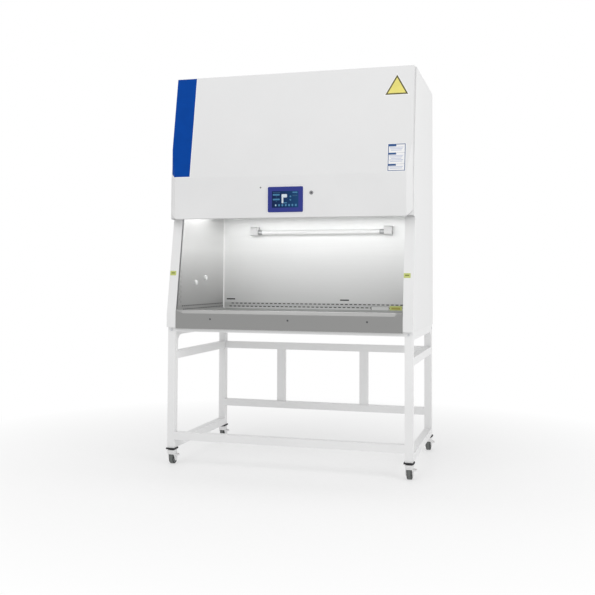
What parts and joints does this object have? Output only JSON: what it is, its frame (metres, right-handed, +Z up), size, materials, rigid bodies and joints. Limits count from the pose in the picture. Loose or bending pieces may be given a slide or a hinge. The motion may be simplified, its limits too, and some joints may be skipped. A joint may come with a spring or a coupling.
{
  "type": "biosafety cabinet",
  "caption": "Floor-standing biosafety cabinet: stainless work chamber with sliding sash and slotted air returns, filtered blower above, hinged front cover, on a wheeled tube stand.",
  "frame": {"origin": "on the floor under the middle of the cabinet's footprint", "axes": "+X to the user's right, +Y to the back, +Z up"},
  "size_m": [1.315, 0.871, 2.068],
  "materials": {
    "white_paint": "fine-textured powder coat",
    "stainless": "brushed, along the sheet",
    "galvanised": "galvanised sheet, plain",
    "aluminium": "natural anodised",
    "glass": "clear laminated",
    "filter_case": "extruded frame with pleated white pack",
    "lamp_glass": "clear quartz tube",
    "white_plastic": "fine moulded texture",
    "grey_plastic": "fine moulded texture",
    "bezel_plastic": "satin violet blue",
    "screen": "dark glossy touch panel",
    "green_lens": "translucent lens",
    "chrome": "polished plating",
    "brass": "machined",
    "steel": "zinc plated",
    "black_plastic": "moulded",
    "black_rubber": "moulded pad",
    "tyre": "grey-green tread with dark sides"
  },
  "bodies": {
    "cabinet": {"back_panel": "white_paint", "blower_housing": "galvanised", "blower_motor": "aluminium", "caster_pads": "black_rubber", "chamber_side_walls": "stainless", "chamber_wall_back": "stainless", "control_box": "white_paint", "diffuser": "stainless", "drain_valve": "brass", "drip_pan": "white_paint", "exhaust_filter": "filter_case", "exhaust_guard": "white_paint", "filter_shelf": "galvanised", "front_lip": "stainless", "front_pillars": "white_paint", "hinge_brackets": "steel", "intake_grille": "stainless", "lamp_holders": "white_plastic", "plenum": "galvanised", "power_inlet": "black_plastic", "sash_guides": "aluminium", "service_plugs": "white_plastic", "side_panels": "white_paint", "stand_bolts": "steel", "stand_legs": "white_paint", "stand_rails": "white_paint", "stand_rear_frame": "white_paint", "stand_top_frame": "white_paint", "supply_filter": "filter_case", "top_panel": "white_paint", "uv_lamp": "lamp_glass", "work_light": "white_paint"},
    "cover": {"front_cover": "white_paint", "screen_bezel": "bezel_plastic", "touch_screen": "screen", "status_lamp": "green_lens", "lock_barrel": "chrome", "hinge_leaves": "steel"},
    "lock": {"lock_plug": "brass"},
    "sash": {"sash_glass": "glass", "sash_handle": "aluminium"},
    "tray": {"work_tray": "stainless"},
    "impeller": {"blower_impeller": "galvanised"},
    "drain_tap": {"drain_lever": "black_plastic"},
    "caster_fl": {"caster_fork_fl": "white_plastic"},
    "wheel_fl": {"caster_wheel_fl": "grey_plastic", "caster_tyre_fl": "tyre"},
    "brake_fl": {"caster_brake_fl": "white_plastic"},
    "caster_fr": {"caster_fork_fr": "white_plastic"},
    "wheel_fr": {"caster_wheel_fr": "grey_plastic", "caster_tyre_fr": "tyre"},
    "brake_fr": {"caster_brake_fr": "white_plastic"},
    "caster_rl": {"caster_fork_rl": "white_plastic"},
    "wheel_rl": {"caster_wheel_rl": "grey_plastic", "caster_tyre_rl": "tyre"},
    "brake_rl": {"caster_brake_rl": "white_plastic"},
    "caster_rr": {"caster_fork_rr": "white_plastic"},
    "wheel_rr": {"caster_wheel_rr": "grey_plastic", "caster_tyre_rr": "tyre"},
    "brake_rr": {"caster_brake_rr": "white_plastic"}
  },
  "joints": [
    {"name": "cover_hinge", "type": "hinge", "parent": "cabinet", "child": "cover", "pos_m": [0, -0.28301, 2.062], "axis": [-1, 0, 0], "range_deg": [0, 60]},
    {"name": "cover_lock", "type": "hinge", "parent": "cover", "child": "lock", "pos_m": [0.133, -0.4, 1.42], "axis": [0, 1, 0], "range_deg": [0, 90]},
    {"name": "sash_slide", "type": "slide", "parent": "cabinet", "child": "sash", "axis": [0, 0.1736, 0.9848], "range_m": [-0.4955, 0]},
    {"name": "tray_lift", "type": "slide", "parent": "cabinet", "child": "tray", "axis": [0, 0, 1], "range_m": [0, 0.08]},
    {"name": "impeller_spin", "type": "hinge", "parent": "cabinet", "child": "impeller", "pos_m": [0.4, 0.13, 1.74], "axis": [1, 0, 0], "continuous": true},
    {"name": "drain_turn", "type": "hinge", "parent": "cabinet", "child": "drain_tap", "pos_m": [-0.48, 0.25, 0.698], "axis": [0, 1, 0], "range_deg": [0, 90]},
    {"name": "caster_fl_swivel", "type": "hinge", "parent": "cabinet", "child": "caster_fl", "pos_m": [-0.627, -0.395, 0.07], "axis": [0, 0, 1], "continuous": true},
    {"name": "wheel_fl_roll", "type": "hinge", "parent": "caster_fl", "child": "wheel_fl", "pos_m": [-0.627, -0.38, 0.031], "axis": [1, 0, 0], "continuous": true},
    {"name": "brake_fl_press", "type": "hinge", "parent": "caster_fl", "child": "brake_fl", "pos_m": [-0.6035, -0.38, 0.047], "axis": [0, 1, 0], "range_deg": [0, 15]},
    {"name": "caster_fr_swivel", "type": "hinge", "parent": "cabinet", "child": "caster_fr", "pos_m": [0.627, -0.395, 0.07], "axis": [0, 0, 1], "continuous": true},
    {"name": "wheel_fr_roll", "type": "hinge", "parent": "caster_fr", "child": "wheel_fr", "pos_m": [0.627, -0.38, 0.031], "axis": [1, 0, 0], "continuous": true},
    {"name": "brake_fr_press", "type": "hinge", "parent": "caster_fr", "child": "brake_fr", "pos_m": [0.6505, -0.38, 0.047], "axis": [0, 1, 0], "range_deg": [0, 15]},
    {"name": "caster_rl_swivel", "type": "hinge", "parent": "cabinet", "child": "caster_rl", "pos_m": [-0.627, 0.395, 0.07], "axis": [0, 0, 1], "continuous": true},
    {"name": "wheel_rl_roll", "type": "hinge", "parent": "caster_rl", "child": "wheel_rl", "pos_m": [-0.627, 0.41, 0.031], "axis": [1, 0, 0], "continuous": true},
    {"name": "brake_rl_press", "type": "hinge", "parent": "caster_rl", "child": "brake_rl", "pos_m": [-0.6035, 0.41, 0.047], "axis": [0, 1, 0], "range_deg": [0, 15]},
    {"name": "caster_rr_swivel", "type": "hinge", "parent": "cabinet", "child": "caster_rr", "pos_m": [0.627, 0.395, 0.07], "axis": [0, 0, 1], "continuous": true},
    {"name": "wheel_rr_roll", "type": "hinge", "parent": "caster_rr", "child": "wheel_rr", "pos_m": [0.627, 0.41, 0.031], "axis": [1, 0, 0], "continuous": true},
    {"name": "brake_rr_press", "type": "hinge", "parent": "caster_rr", "child": "brake_rr", "pos_m": [0.6505, 0.41, 0.047], "axis": [0, 1, 0], "range_deg": [0, 15]}
  ]
}
